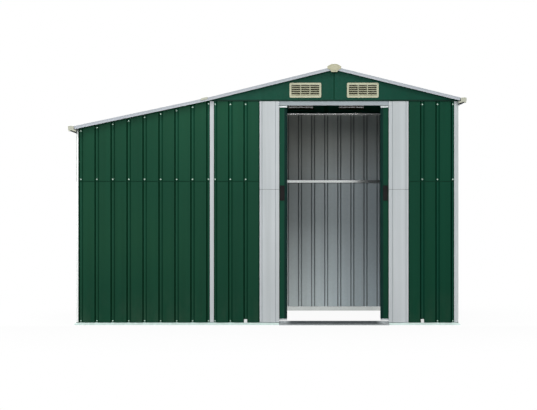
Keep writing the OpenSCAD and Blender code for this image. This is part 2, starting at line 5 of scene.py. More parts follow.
import bpy
from mathutils import Matrix, Vector


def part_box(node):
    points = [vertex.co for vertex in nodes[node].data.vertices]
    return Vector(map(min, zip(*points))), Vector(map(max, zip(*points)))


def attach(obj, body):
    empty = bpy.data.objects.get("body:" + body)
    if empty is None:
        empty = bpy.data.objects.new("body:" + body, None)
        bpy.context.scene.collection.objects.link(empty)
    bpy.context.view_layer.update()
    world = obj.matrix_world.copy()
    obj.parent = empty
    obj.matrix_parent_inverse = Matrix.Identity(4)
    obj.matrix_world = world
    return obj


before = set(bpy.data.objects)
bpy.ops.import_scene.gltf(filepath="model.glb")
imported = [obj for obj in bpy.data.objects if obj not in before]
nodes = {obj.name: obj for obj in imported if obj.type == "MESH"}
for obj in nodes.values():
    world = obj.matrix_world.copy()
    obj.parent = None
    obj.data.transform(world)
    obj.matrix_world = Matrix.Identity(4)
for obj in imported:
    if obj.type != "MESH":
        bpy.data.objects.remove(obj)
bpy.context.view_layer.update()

X_AXIS = Vector((1, 0, 0))
Y_AXIS = Vector((0, 1, 0))
UP = Vector((0, 0, 1))
OUTWARD = {
    "front_left_wall": -Y_AXIS,
    "front_right_wall": -Y_AXIS,
    "lean_to_front_wall": -Y_AXIS,
    "back_wall": Y_AXIS,
    "lean_to_back_wall": Y_AXIS,
    "left_wall": -X_AXIS,
    "right_wall": X_AXIS,
    "roof_left": UP,
    "roof_right": UP,
    "lean_to_roof": UP,
    "left_door_leaf": -Y_AXIS,
    "right_door_leaf": -Y_AXIS,
}
ROOFS = ["roof_left", "roof_right", "lean_to_roof"]
LEAVES = ["left_door_leaf", "right_door_leaf"]
WALLS = [name for name in OUTWARD if name not in ROOFS + LEAVES]
GABLES = ["front_gable", "back_gable"]
VENTS = ["front_vents", "back_vents"]
CAPS = ["front_end_caps", "back_end_caps"]
COLUMNS = ["left_door_column", "right_door_column"]
DOOR_RAILS = ["left_door_rails", "right_door_rails"]
HANDLES = ["left_door_handle", "right_door_handle"]
ROLLERS = ["left_door_rollers", "right_door_rollers"]
STEEL = ["front_wall_rails", "back_wall_rails", "side_wall_rails", "mid_beam", "roof_beams"]
TRIM = ["mid_posts", "right_posts", "ridge_strip", "junction_strip"] + COLUMNS
BASE = ["front_base_rails", "back_base_rail", "side_base_rails"]
# Parts that take a lighter copy of the trim white as painted light
BRIGHT = ["left_posts"] + DOOR_RAILS
RAKES = ["front_rake_trims", "back_rake_trims", "eave_trims"]

GABLE_MIDDLE = sum(corner.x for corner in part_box("front_vents")) / 2
GABLE_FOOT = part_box("front_gable")[0].z

# Heights in metres that tell low parts from high ones
KNEE = 0.5
LAP_LEAST = 0.6
HEAD_HEIGHT = 1.5


# Materials

def tone(r, g, b):
    """A colour written as it looks on screen, 0 to 255, in the shader's linear values."""
    def linear(v):
        v /= 255
        return v / 12.92 if v <= 0.04045 else ((v + 0.055) / 1.055) ** 2.4
    return (linear(r), linear(g), linear(b), 1)


class Finish:
    """One procedural material, built from object coordinates."""

    def __init__(self, name, specular=0.3, metallic=0.0):
        self.mat = bpy.data.materials.new(name)
        self.mat.use_nodes = True
        self.tree = self.mat.node_tree
        self.shader = self.tree.nodes["Principled BSDF"]
        self.shader.inputs["Specular IOR Level"].default_value = specular
        self.shader.inputs["Metallic"].default_value = metallic
        self.place = self.node("ShaderNodeTexCoord").outputs["Object"]

    def node(self, kind, **inputs):
        made = self.tree.nodes.new(kind)
        for name, value in inputs.items():
            self.feed(made.inputs[name], value)
        return made

    def feed(self, socket, value):
        if isinstance(value, bpy.types.NodeSocket):
            self.tree.links.new(value, socket)
        else:
            socket.default_value = value

    def noise(self, scale, stretch=(1, 1, 1), detail=3.0):
        moved = self.node("ShaderNodeMapping", Vector=self.place, Scale=stretch)
        return self.node(
            "ShaderNodeTexNoise", Vector=moved.outputs[0], Scale=scale, Detail=detail
        ).outputs[0]

    def cells(self, scale):
        made = self.node("ShaderNodeTexVoronoi", Vector=self.place, Scale=scale)
        return self.node("ShaderNodeSeparateColor", Color=made.outputs["Color"]).outputs[0]

    def spread(self, value, low, high, to_low=0.0, to_high=1.0):
        made = self.tree.nodes.new("ShaderNodeMapRange")
        for socket, given in zip(made.inputs, (value, low, high, to_low, to_high)):
            self.feed(socket, given)
        return made.outputs[0]

    def math(self, kind, a, b):
        made = self.tree.nodes.new("ShaderNodeMath")
        made.operation = kind
        self.feed(made.inputs[0], a)
        self.feed(made.inputs[1], b)
        return made.outputs[0]

    def mix(self, share, a, b, kind="MIX"):
        made = self.tree.nodes.new("ShaderNodeMix")
        made.data_type = "RGBA"
        made.blend_type = kind
        self.feed(made.inputs[0], share)
        self.feed(made.inputs[6], a)
        self.feed(made.inputs[7], b)
        return made.outputs[2]

    def times(self, colour, tint):
        return self.mix(1.0, colour, tint, "MULTIPLY")

    def shaded(self, colour, share):
        """The colour times a share of light."""
        grey = self.node("ShaderNodeCombineColor", Red=share, Green=share, Blue=share)
        return self.times(colour, grey.outputs[0])

    def axis(self, name):
        return self.node("ShaderNodeSeparateXYZ", Vector=self.place).outputs[name]

    def distance(self, point):
        made = self.node("ShaderNodeVectorMath", Vector=self.place)
        made.operation = "DISTANCE"
        made.inputs[1].default_value = point
        return made.outputs["Value"]

    def bump(self, height, strength, distance, under=None):
        made = self.node("ShaderNodeBump", Strength=strength, Distance=distance, Height=height)
        if under is not None:
            self.feed(made.inputs["Normal"], under)
        return made.outputs[0]

    def set(self, colour, roughness, normal):
        self.feed(self.shader.inputs["Base Color"], colour)
        self.feed(self.shader.inputs["Roughness"], roughness)
        self.feed(self.shader.inputs["Normal"], normal)
        return self.mat


# How the streaks of a coat are stretched, and where painted light and shade lie on the coats, in metres
WALL = (22, 22, 0.5)
SLOPE = (0.5, 22, 1)
EVEN = (6, 6, 6)
PLAIN = (1, 1, 1, 1)
# Painted light on the green coats: the span from the lit left to the shaded right, the heights from shaded
# low to lit high, and the middle and reach of a painted pool of light
PAINTED_LIGHT_SIDES = (-1.4, 1.4)
PAINTED_LIGHT_HEIGHTS = (0.2, 1.7)
PAINTED_POOL_MIDDLE = (-0.35, -0.97, 1.6)
PAINTED_POOL_REACH = (0.15, 0.65)
# Painted shade along the foot of a sheet: full up to the first height above the foot, fading out by the
# second
FOOT_SHADE_BAND = (0.009, 0.013)
DUST_HEIGHTS = (0.02, 0.3)
# Painted light and shade on the inside of the walls: across the width, in the corner by the lean-to, to the
# right, from the foot, at middle height and at the head
INSIDE_WIDTH = (0.15, 0.95)
INSIDE_CORNER = (0.15, 0.5)
INSIDE_SHADE = (0.55, 0.85)
INSIDE_FOOT = (0.0, 0.8)
INSIDE_MIDDLE = (0.6, 1.1)
INSIDE_HEAD = (1.1, 1.5)


def painted(name, deep, light, specular, rough, along, dust=0.0, painted_light=False, shaded_foot=None):
    """Coated sheet steel: cloudy tone, streaks along the sheet, dust near the ground, orange peel.

    A coat with painted light is darker low down, brighter and warmer towards the lean-to on the left,
    darker and greener to the right, and has a painted pool of light at the top left of the front. Given the
    height of the sheet's foot, it lays painted shade along the lowest centimetre above it."""
    f = Finish(name, specular)
    cloud = f.spread(f.noise(1.1, detail=4), 0.3, 0.7)
    streak = f.spread(f.noise(1.0, along, 4), 0.35, 0.68)
    colour = f.mix(cloud, deep, light)
    colour = f.mix(streak, colour, f.times(colour, (0.86, 0.87, 0.86, 1)))
    # Painted light and shade: brighter high up and in a pool at the top left of the front, brighter and
    # warmer to the left, darker and greener to the right
    if painted_light:
        side = f.spread(f.axis("X"), *PAINTED_LIGHT_SIDES)
        height = f.spread(f.axis("Z"), *PAINTED_LIGHT_HEIGHTS, 0.9, 1.1)
        light_pool = f.spread(f.distance(PAINTED_POOL_MIDDLE), *PAINTED_POOL_REACH, 1.15, 1.0)
        colour = f.shaded(colour, f.math("MULTIPLY", light_pool, height))
        colour = f.times(colour, f.mix(side, (1.38, 1.04, 1.03, 1), (0.18, 0.81, 0.82, 1)))
    # Painted shade along the lowest centimetre above the sheet's foot
    if shaded_foot is not None:
        colour = f.shaded(colour, f.spread(f.axis("Z"), shaded_foot + FOOT_SHADE_BAND[0], shaded_foot + FOOT_SHADE_BAND[1], 0.42, 1.0))
    if dust:
        patches = f.spread(f.noise(14, (1, 1, 0.4), 4), 0.42, 0.8, 0, dust)
        foot = f.math("MULTIPLY", f.spread(f.axis("Z"), *DUST_HEIGHTS, 1, 0), patches)
        colour = f.mix(foot, colour, tone(150, 146, 132))
    worn = f.spread(f.noise(60, detail=5), 0.3, 0.75, rough - 0.07, rough + 0.08)
    peel = f.bump(f.noise(420, detail=2), 0.1, 0.0004)
    wave = f.bump(f.noise(2.4, detail=2), 0.25, 0.004, peel)
    return f.set(colour, worn, wave)


def galvanised(name, deep, light, metallic, rough, along, grain=0.12, inside=False):
    """Zinc-coated or primed steel: crystal spangle, soft streaks, rolled grain.

    On the inside of a wall it carries painted light and shade: brightest near the base, shaded to the
    right, away from the lean-to, and high up in the corner beside it, cooler to the right, and brighter and
    warmer at the head."""
    f = Finish(name, 0.3, metallic)
    spangle = f.cells(75)
    cloud = f.spread(f.noise(1.6, detail=3), 0.3, 0.7)
    share = f.math("ADD", f.math("MULTIPLY", spangle, 0.35), f.math("MULTIPLY", cloud, 0.65))
    streak = f.spread(f.noise(1.0, along, 4), 0.4, 0.72, 0, 0.35)
    colour = f.mix(share, deep, light)
    colour = f.mix(streak, colour, f.times(colour, (0.72, 0.72, 0.72, 1)))
    # Painted light and shade inside: lit near the base, shaded to the right and high in the corner by the
    # lean-to, cooler to the right, brighter and warmer at the head
    if inside:
        x = f.axis("X")
        z = f.axis("Z")
        foot = f.spread(z, *INSIDE_FOOT, 1.36, 0.75)
        shade = f.spread(x, *INSIDE_SHADE, 0.95, 0.79)
        colour = f.shaded(colour, f.math("MULTIPLY", foot, shade))
        tint = f.mix(f.spread(x, *INSIDE_WIDTH), (1.02, 1.01, 0.99, 1), (0.85, 0.89, 0.93, 1))
        corner = f.mix(f.spread(x, *INSIDE_CORNER), (0.72, 0.72, 0.72, 1), PLAIN)
        tint = f.times(tint, f.mix(f.spread(z, *INSIDE_MIDDLE), PLAIN, corner))
        tint = f.times(tint, f.mix(f.spread(z, *INSIDE_HEAD), PLAIN, (1.2, 1.12, 1.03, 1)))
        colour = f.times(colour, tint)
    worn = f.spread(spangle, 0, 1, rough * (1 - grain), rough * (1 + grain))
    return f.set(colour, worn, f.bump(f.noise(260, detail=3), grain, 0.0005))


def moulded(name, deep, light, rough, specular=0.3):
    """Moulded plastic, rubber or mastic: faint flow clouds and a fine pebbled skin."""
    f = Finish(name, specular)
    colour = f.mix(f.spread(f.noise(9, detail=4), 0.3, 0.72), deep, light)
    worn = f.spread(f.noise(90, detail=3), 0.3, 0.7, rough - 0.05, rough + 0.07)
    return f.set(colour, worn, f.bump(f.noise(900, detail=1), 0.18, 0.0003))


def step_plate():
    """Sill and bottom guide: zinc, with painted shade in a lens across the middle of the doorway, deepest
    towards the top of the plate.
    """
    shade_ends = (0.33, 0.382)
    shade_heights = (0.002, 0.016)
    f = Finish("step_plate", 0.25, 0.3)
    low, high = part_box("door_sill")
    middle = (low.x + high.x) / 2
    away = f.math("ABSOLUTE", f.math("SUBTRACT", f.axis("X"), middle), 0.0)
    across = f.spread(away, *shade_ends, 1, 0.04)
    rise = f.spread(f.axis("Z"), *shade_heights, 0.12, 1)
    shade_breakup = f.spread(f.noise(40, (1, 3, 1), 4), 0.2, 0.7, 0.85, 1)
    # Painted shade in a lens across the doorway, deepest at the top of the plate, broken up by noise
    lens_shade = f.math("MULTIPLY", f.math("MULTIPLY", across, rise), shade_breakup)
    plain = f.mix(f.cells(75), tone(166, 172, 174), tone(186, 191, 193))
    colour = f.mix(lens_shade, plain, tone(64, 70, 73))
    worn = f.spread(f.noise(70, (1, 4, 1), 4), 0.3, 0.7, 0.4, 0.6)
    return f.set(colour, worn, f.bump(f.noise(260, (1, 6, 1), 3), 0.12, 0.0004))


def green(name, deep, light, specular, rough, dust=0.0, shaded_foot=None):
    """A green coat of a wall, gable or door, with painted light, and painted shade along the foot when a
    foot height is given.
    """
    return painted(name, tone(*deep), tone(*light), specular, rough, WALL, dust, True, shaded_foot)


def white(name, deep, light, specular, rough, along=WALL):
    """An off-white or grey coat of folded steel."""
    return painted(name, tone(*deep), tone(*light), specular, rough, along)


def zinced(name, deep, light, metallic, rough, along, grain=0.12):
    """Bare zinc or primer, the same all over."""
    return galvanised(name, tone(*deep), tone(*light), metallic, rough, along, grain)


def backing(name, deep, light, rough):
    """The primed inside of a wall sheet, with painted light and shade."""
    return galvanised(name, tone(*deep), tone(*light), 0.1, rough, WALL, inside=True)


def plastic(name, deep, light, rough, specular=0.3):
    """A moulded finish from two tones."""
    return moulded(name, tone(*deep), tone(*light), rough, specular)


green_wall = green("green_wall_coat", (10, 63, 45), (18, 68, 47), 0.08, 0.5, 0.05)
# Painted shade and light in the grooves: the flanks facing right and those facing left are darker copies of
# the wall green, the groove floors a lighter one
green_flank_shade = green("green_flank_painted_shade", (4, 40, 24), (7, 46, 30), 0.02, 0.6)
green_slope_shade = green("green_slope_painted_shade", (9, 53, 36), (14, 60, 43), 0.06, 0.55)
green_floor_lit = green("green_groove_painted_light", (15, 67, 47), (21, 74, 55), 0.08, 0.5, 0.05)
# The gable green has painted shade along its foot
green_gable = green("green_gable_coat", (13, 65, 48), (19, 72, 57), 0.08, 0.5, shaded_foot=GABLE_FOOT)
# Painted light: the left door leaf takes a lighter copy of the wall green, where the column shades it
green_leaf_lit = green("green_leaf_painted_light", (15, 71, 51), (21, 78, 59), 0.08, 0.5, 0.05)
green_roof = painted("green_roof_coat", tone(11, 62, 42), tone(17, 69, 50), 0.1, 0.5, SLOPE)
white_trim = white("white_trim_coat", (189, 195, 198), (199, 204, 207), 0.25, 0.45)
# Painted shade: the grey of the strips behind the column seams stands in for the shade in the seam
seam_shade_grey = white("column_seam_painted_shade", (104, 110, 113), (114, 120, 123), 0.1, 0.6)
# Painted shade: a darker copy of the trim white for the creases of the door columns
white_crease_shade = white("white_crease_painted_shade", (166, 172, 176), (176, 182, 186), 0.2, 0.5)
white_base = white("white_base_coat", (208, 229, 224), (216, 235, 230), 0.25, 0.45)
# Painted light: a lighter copy of the trim white for the slanted outer faces of the right posts
white_edge_lit = white("white_edge_painted_light", (212, 219, 219), (220, 226, 226), 0.25, 0.45)
# Painted light: a lighter copy of the trim white for the bright parts and the base clips
white_bead_lit = white("white_bead_painted_light", (226, 229, 228), (236, 238, 237), 0.3, 0.4)
grey_rake = white("rake_coat", (176, 182, 190), (188, 193, 200), 0.25, 0.45, SLOPE)
# Painted shade: the header's darker grey stands in for the shade under the gable's foot
grey_header_shade = white("header_painted_shade", (162, 171, 176), (172, 181, 186), 0.2, 0.5, SLOPE)
rail_zinc = zinced("rail_zinc", (176, 180, 179), (184, 187, 186), 1.0, 0.12, EVEN, 0.01)
leg_zinc = zinced("leg_zinc", (188, 193, 191), (196, 200, 198), 1.0, 0.12, EVEN, 0.01)
# Painted light: a lighter copy of the rail zinc for the head rail inside the back wall
head_zinc_lit = zinced("head_rail_zinc_painted_light", (232, 235, 233), (242, 244, 243), 1.0, 0.24, EVEN, 0.01)
door_zinc = zinced("door_rail_zinc", (206, 213, 213), (214, 220, 220), 0.45, 0.42, EVEN, 0.02)
roof_back = zinced("roof_backing", (150, 157, 158), (168, 174, 175), 0.1, 0.5, SLOPE)
zinc = zinced("zinc_plate", (168, 173, 175), (196, 200, 202), 0.5, 0.4, (14, 2, 2))
screw_zinc = zinced("screw_zinc", (176, 204, 190), (196, 219, 207), 0.3, 0.35, (40, 40, 40))
# The backing inside the walls carries painted light and shade
sheet_back = backing("sheet_backing", (199, 209, 211), (214, 224, 226), 0.5)
# Painted shade: a darker copy of the backing for the flanks of the grooves inside
back_flank_shade = backing("sheet_backing_flank_painted_shade", (140, 146, 148), (156, 162, 164), 0.55)
beige = plastic("beige_moulding", (176, 177, 150), (189, 190, 163), 0.45)
cap_beige = plastic("cap_moulding", (176, 178, 162), (188, 190, 174), 0.45)
ridge_beige = plastic("ridge_cap_moulding", (173, 172, 144), (184, 182, 155), 0.45)
# Painted shade: dark brown under the vent blades, where their shade falls
blade_under_shade = plastic("blade_underside_painted_shade", (48, 39, 14), (58, 48, 20), 0.6, 0.1)
# The screens' near-black brown is partly their own colour and partly painted shade behind the louvres
screen_wire_and_shade = plastic("screen_wire_and_shade", (32, 26, 9), (40, 33, 14), 0.6, 0.1)
black = plastic("black_moulding", (20, 19, 20), (31, 30, 30), 0.5, 0.08)
# The seal's dark teal also stands in for painted shade at the leading edges of the door leaves
rubber = plastic("seal_rubber_and_shade", (8, 40, 35), (13, 47, 42), 0.6, 0.08)
# The mastic's dark green also stands in for painted shade under the foot of the upper sheets
mastic = plastic("lap_mastic_and_shade", (10, 47, 32), (15, 54, 38), 0.7, 0.05)
# Painted shade: the dark green at the middle of the gables stands in for the shade in the joint
joint_strip_shade = plastic("gable_joint_painted_shade", (13, 56, 40), (18, 62, 46), 0.7, 0.05)
step_zinc = step_plate()


def use(names, *materials):
    """Puts the materials in the slots of the named nodes."""
    for name in names:
        mesh = nodes[name].data
        mesh.materials.clear()
        for material in materials:
            mesh.materials.append(material)


def slanted(share):
    """Whether a face with this share of its normal along an axis slants to it."""
    return 0.3 < share < 0.95


CREST, FLOOR, SHADE, SLANT, INSIDE, INSIDE_FLANK = range(6)
HALF_GROOVE = 0.005


def ribbed_coats(names, crest):
    """Coats of a ribbed sheet: crests, groove floors with painted light, the two flanks of a groove with
    painted shade, and the inside.
    """
    use(names, crest, green_floor_lit, green_flank_shade, green_slope_shade, sheet_back, back_flank_shade)
    for name in names:
        out = OUTWARD[name]
        along = UP.cross(out)
        faces = nodes[name].data.polygons
        top = max(out.dot(face.center) for face in faces)
        for face in faces:
            facing = face.normal.dot(out)
            if facing < -0.1:
                face.material_index = INSIDE_FLANK if slanted(-facing) else INSIDE
            elif slanted(facing):
                face.material_index = SHADE if face.normal.dot(along) > 0 else SLANT
            else:
                face.material_index = FLOOR if out.dot(face.center) < top - HALF_GROOVE else CREST


def pick(names, material, wanted):
    """A further coat on the faces of the nodes that the test picks."""
    for name in names:
        mesh = nodes[name].data
        mesh.materials.append(material)
        for face in mesh.polygons:
            if wanted(face):
                face.material_index = len(mesh.materials) - 1


ribbed_coats(WALLS, green_wall)
ribbed_coats(["left_door_leaf"], green_leaf_lit)
ribbed_coats(["right_door_leaf"], green_wall)
use(ROOFS, green_roof)
use(GABLES, green_gable)
use(["door_sill", "door_guide"], step_zinc)
use(["door_track"], zinc)
use(VENTS, beige)
use(CAPS, cap_beige)
use(HANDLES + ROLLERS, black)
use(STEEL, rail_zinc)
use(TRIM, white_trim)
use(BASE, white_base)
use(BRIGHT, white_bead_lit)
use(RAKES, grey_rake)
use(["door_header"], grey_header_shade)

JOINT_HALF = 0.012
RIDGE_HALF = 0.3
# The slanted creases of the columns take painted shade
pick(COLUMNS, white_crease_shade, lambda face: slanted(-face.normal.y))
pick(DOOR_RAILS, zinc, lambda face: face.center.z < KNEE)
pick(DOOR_RAILS, door_zinc, lambda face: face.center.z > KNEE)
# The slanted outer faces of the right posts take painted light
pick(["right_posts"], white_edge_lit, lambda face: slanted(face.normal.x))
pick(["back_base_rail"], leg_zinc, lambda face: face.normal.y < -0.9)
# The head rail inside the back wall takes painted light
pick(["back_wall_rails"], head_zinc_lit, lambda face: face.center.z > HEAD_HEIGHT)
# The undersides of the vent blades take painted shade
pick(VENTS, blade_under_shade, lambda face: face.normal.z < -0.5)
# The joint at the middle of each gable takes painted shade
pick(GABLES, joint_strip_shade, lambda face: abs(face.center.x - GABLE_MIDDLE) < JOINT_HALF)
pick(ROOFS, roof_back, lambda face: face.normal.z < -0.1)
pick(CAPS, ridge_beige, lambda face: abs(face.center.x - GABLE_MIDDLE) < RIDGE_HALF)


def soften(names, width, segments=2):
    """Small rounded edges, as folded or moulded parts have."""
    for name in names:
        weld = nodes[name].modifiers.new("weld", "WELD")
        weld.merge_threshold = 0.00002
        bevel = nodes[name].modifiers.new("bevel", "BEVEL")
        bevel.width = width
        bevel.segments = segments
        bevel.limit_method = "ANGLE"
        bevel.angle_limit = math.radians(28)


soften(VENTS, 0.0008)
soften(CAPS + HANDLES, 0.0015)
soften(TRIM + BASE + BRIGHT + RAKES + ["door_header"], 0.0004)


# Pieces that the frame leaves out

def piece(name, points, faces, material, body):
    """A mesh object that rides on a body and takes the given material."""
    mesh = bpy.data.meshes.new(name)
    mesh.from_pydata(points, [], faces)
    mesh.update()
    mesh.materials.append(material)
    made = bpy.data.objects.new(name, mesh)
    bpy.context.scene.collection.objects.link(made)
    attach(made, body)
    return made


def band(a, b, count):
    """Quads between two closed rings of points that start at a and b."""
    return [(a + i, a + (i + 1) % count, b + (i + 1) % count, b + i) for i in range(count)]


def moved_faces(faces, start):
    """The faces of a shape whose points begin at start."""
    return [tuple(start + i for i in face) for face in faces]


def turned(profile, sides):
    """Points and faces of a profile of (radius, height) turned round the z axis, closed at both ends."""
    points = [(0, 0, profile[0][1])]
    for radius, height in profile:
        for i in range(sides):
            angle = 2 * math.pi * i / sides
            points.append((radius * math.cos(angle), radius * math.sin(angle), height))
    tip = len(points)
    points.append((0, 0, profile[-1][1]))
    rings = [1 + ring * sides for ring in range(len(profile))]
    faces = [(0, 1 + (i + 1) % sides, 1 + i) for i in range(sides)]
    for a, b in zip(rings, rings[1:]):
        faces += band(a, b, sides)
    faces += [(rings[-1] + i, rings[-1] + (i + 1) % sides, tip) for i in range(sides)]
    return points, faces


def bar(outline, low, high):
    """Points and faces of a plan outline raised from one height to another."""
    count = len(outline)
    points = [(x, y, z) for z in (low, high) for x, y in outline]
    ends = [tuple(reversed(range(count))), tuple(range(count, 2 * count))]
    return points, ends + band(0, count, count)


SCREW_SIDES = 12
SCREW = [
    (0.0058, -0.0004), (0.0058, 0.0009), (0.0050, 0.0016), (0.0037, 0.0016), (0.0035, 0.0027),
    (0.0028, 0.0037), (0.0018, 0.0042), (0.0008, 0.0044),
]
RECESS_RINGS = (6, 7)
RECESS = Vector((0, 0, 0.0013))
RECESS_MIDDLE = Vector((0, 0, 0.0016))
SCREW_TURN = 0.7


def screw_shape():
    """Pan-head screw on a washer, with a cross recess pressed into its head."""
    points, faces = turned(SCREW, SCREW_SIDES)
    points = [Vector(p) for p in points]
    for ring in RECESS_RINGS:
        for i in range(0, SCREW_SIDES, 3):
            points[1 + ring * SCREW_SIDES + i] -= RECESS
    points[-1] -= RECESS_MIDDLE
    return points, faces


def screws(name, places):
    """One mesh of screws, each at a point with its head along a direction."""
    shape, shape_faces = screw_shape()
    points, faces = [], []
    for index, (at, out) in enumerate(places):
        turn = out.to_track_quat("Z", "Y").to_matrix() @ Matrix.Rotation(index * SCREW_TURN, 3, "Z")
        faces += moved_faces(shape_faces, len(points))
        points += [turn @ p + at for p in shape]
    return piece(name, points, faces, screw_zinc, "shed")


def level_along(out):
    """The level direction along a sheet that faces out."""
    return Y_AXIS if abs(out.y) < 0.5 else X_AXIS


def groove_faces(name):
    """The groove floors of a ribbed sheet: their face direction and corners by place across and depth."""
    out = OUTWARD[name]
    across = level_along(out)
    flat_share = 0.93
    least_depth = 0.007
    mesh = nodes[name].data
    flats = []
    for face in mesh.polygons:
        if face.normal.dot(out) > flat_share:
            corners = [mesh.vertices[i].co for i in face.vertices]
            flats.append((round(face.normal.dot(corners[0]), 4), face.normal.copy(), corners))
    crest = max(depth for depth, normal, corners in flats)
    floors = {}
    for depth, normal, corners in flats:
        if depth <= crest - least_depth:
            reach = [across.dot(p) for p in corners]
            key = (round((min(reach) + max(reach)) / 2, 3), depth)
            floors.setdefault(key, [normal, []])[1].extend(corners)
    return sorted(floors.items())


def groove_floors(name):
    """The groove floors of a ribbed sheet as (low end, high end, face direction), along their middles.

    A raking end counts as its higher corner at the foot, and as its middle at the head."""
    across = level_along(OUTWARD[name])
    made = []
    for (middle, depth), (normal, corners) in groove_faces(name):
        run = normal.cross(across).normalized()
        if run.z < 0:
            run = -run
        side = [across.dot(p) for p in corners]
        slack = 0.2 * (max(side) - min(side)) + 1e-6
        reach = sorted(run.dot(p) for p in corners)
        low = max(r for r in reach if r < reach[0] + slack)
        high = [r for r in reach if r > (reach[0] + reach[-1]) / 2]
        base = across * middle + normal * depth
        made.append((base + run * low, base + run * (min(high) + max(high)) / 2, normal))
    return made


BASE_RISE = Vector((0, 0, 0.011))
LAP_RISE = Vector((0, 0, 0.0125))
MAIN_DROP = Vector((0, 0, 0.0235))
RAKING_DROP = Vector((0, 0, 0.031))
ROOF_ROWS = (0.09, 0.5, 0.91)


def wall_screws(name, drop, skip=()):
    """Three rows in the grooves of a wall: at the base, at the lap and under the wall head."""
    places = []
    for low, high, normal in groove_floors(name):
        if any(a < low.x < b for a, b in skip):
            continue
        if low.z < KNEE:
            places.append((low + BASE_RISE, normal))
        else:
            places += [(low + LAP_RISE, normal), (high - drop, normal)]
    return places


def roof_screws(name):
    """Three rows down the slope in the grooves of a roof sheet."""
    grooves = groove_floors(name)
    return [(low + (high - low) * share, normal) for low, high, normal in grooves for share in ROOF_ROWS]


covered = [(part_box(column)[0].x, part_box(column)[1].x) for column in COLUMNS]
front_places = wall_screws("lean_to_front_wall", RAKING_DROP)
front_places += wall_screws("front_left_wall", MAIN_DROP, covered)
front_places += wall_screws("front_right_wall", MAIN_DROP, covered)
back_places = wall_screws("back_wall", MAIN_DROP)
back_places += wall_screws("lean_to_back_wall", RAKING_DROP)
screws("front_screws", front_places)
screws("back_screws", back_places)
screws("left_screws", wall_screws("left_wall", RAKING_DROP))
screws("right_screws", wall_screws("right_wall", RAKING_DROP))
screws("roof_screws", [place for roof in ROOFS for place in roof_screws(roof)])


def door_seal(side, lead, inward):
    """Rubber strip wrapped round the leading edge of a leaf; inward points from the edge into it."""
    skin = 0.0012
    lip = 0.00048
    width = 0.021
    bend = 0.010
    front_bend = 0.0096
    edge_bend = 0.0095
    deep = 0.0142
    ease = 0.001
    low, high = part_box(side + "_door_leaf")
    outer = [(width, -lip), (front_bend, -skin), (-skin, edge_bend), (-skin, deep)]
    line = [(0, deep), (0, bend), (bend, 0), (width, 0)]
    outline = [(lead + inward * u, low.y + v) for u, v in outer + line]
    if inward < 0:
        outline.reverse()
    points, faces = bar(outline, low.z + ease, high.z - ease)
    # Its dark coat is also painted shade at the leading edge
    return piece(side + "_door_seal", points, faces, rubber, side + "_door")


door_seal("left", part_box("left_door_leaf")[1].x, -1)
door_seal("right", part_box("right_door_leaf")[0].x, 1)


def lap_line(name):
    """Points along the outer foot of a wall's upper sheet, from one end to the other, and their height."""
    out = OUTWARD[name]
    across = level_along(out)
    thin = 0.0005
    skin = 0.0012
    places = [v.co for v in nodes[name].data.vertices]
    foot = min(p.z for p in places if p.z > LAP_LEAST)
    at_foot = [p for p in places if abs(p.z - foot) < 1e-5]
    crest = max(out.dot(p) for p in at_foot)
    depth = crest - min(out.dot(p) for p in at_foot)
    line = {}
    for p in at_foot:
        level = crest - out.dot(p)
        if level < thin or depth - skin - thin < level < depth - thin:
            line[round(across.dot(p), 4)] = out.dot(p)
    return [across * u + out * v for u, v in sorted(line.items())], foot


BEAD = ((0.0007, 0.0003), (0.0017, 0.0003), (0.0017, 0.0072), (0.0009, 0.0068))


def lap_beads(name, walls):
    """Mastic under the foot of the upper sheets, following the ribs; the bead's section is (back, drop)."""
    points, faces = [], []
    for wall in walls:
        line, foot = lap_line(wall)
        start = len(points)
        end = start + 4 * (len(line) - 1)
        for p in line:
            points += [p - OUTWARD[wall] * back + UP * (foot - drop) for back, drop in BEAD]
        for a in range(start, end, 4):
            faces += band(a, a + 4, 4)
        faces += [(start, start + 3, start + 2, start + 1), (end, end + 1, end + 2, end + 3)]
    # Its dark coat is also painted shade under the lap
    return piece(name, points, faces, mastic, "shed")


lap_beads("front_lap_mastic", ["lean_to_front_wall", "front_left_wall", "front_right_wall"])
lap_beads("back_lap_mastic", ["lean_to_back_wall", "back_wall"])
lap_beads("left_lap_mastic", ["left_wall"])
lap_beads("right_lap_mastic", ["right_wall"])


def column_sleeves(name):
    """Jointing strips behind the seam across each door column, one behind each flat of its face."""
    sunk = 0.0016
    thick = 0.0008
    inset = 0.0015
    back_inset = 0.002
    half = 0.012
    points, faces = [], []
    for column in COLUMNS:
        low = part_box(column)[0]
        places = [v.co for v in nodes[column].data.vertices]
        flats = sorted({round(p.x, 4) for p in places if p.y < low.y + 0.0001})
        seam = [p.z for p in places if KNEE < p.z < HEAD_HEIGHT]
        middle = (min(seam) + max(seam)) / 2
        front = low.y + sunk
        back = front + thick
        for x0, x1 in zip(flats[::2], flats[1::2]):
            outline = [
                (x0 + inset, front), (x1 - inset, front), (x1 - back_inset, back), (x0 + back_inset, back)
            ]
            strip_points, strip_faces = bar(outline, middle - half, middle + half)
            faces += moved_faces(strip_faces, len(points))
            points += strip_points
    # Their grey coat is painted shade in the seam
    return piece(name, points, faces, seam_shade_grey, "shed")


column_sleeves("column_sleeves")


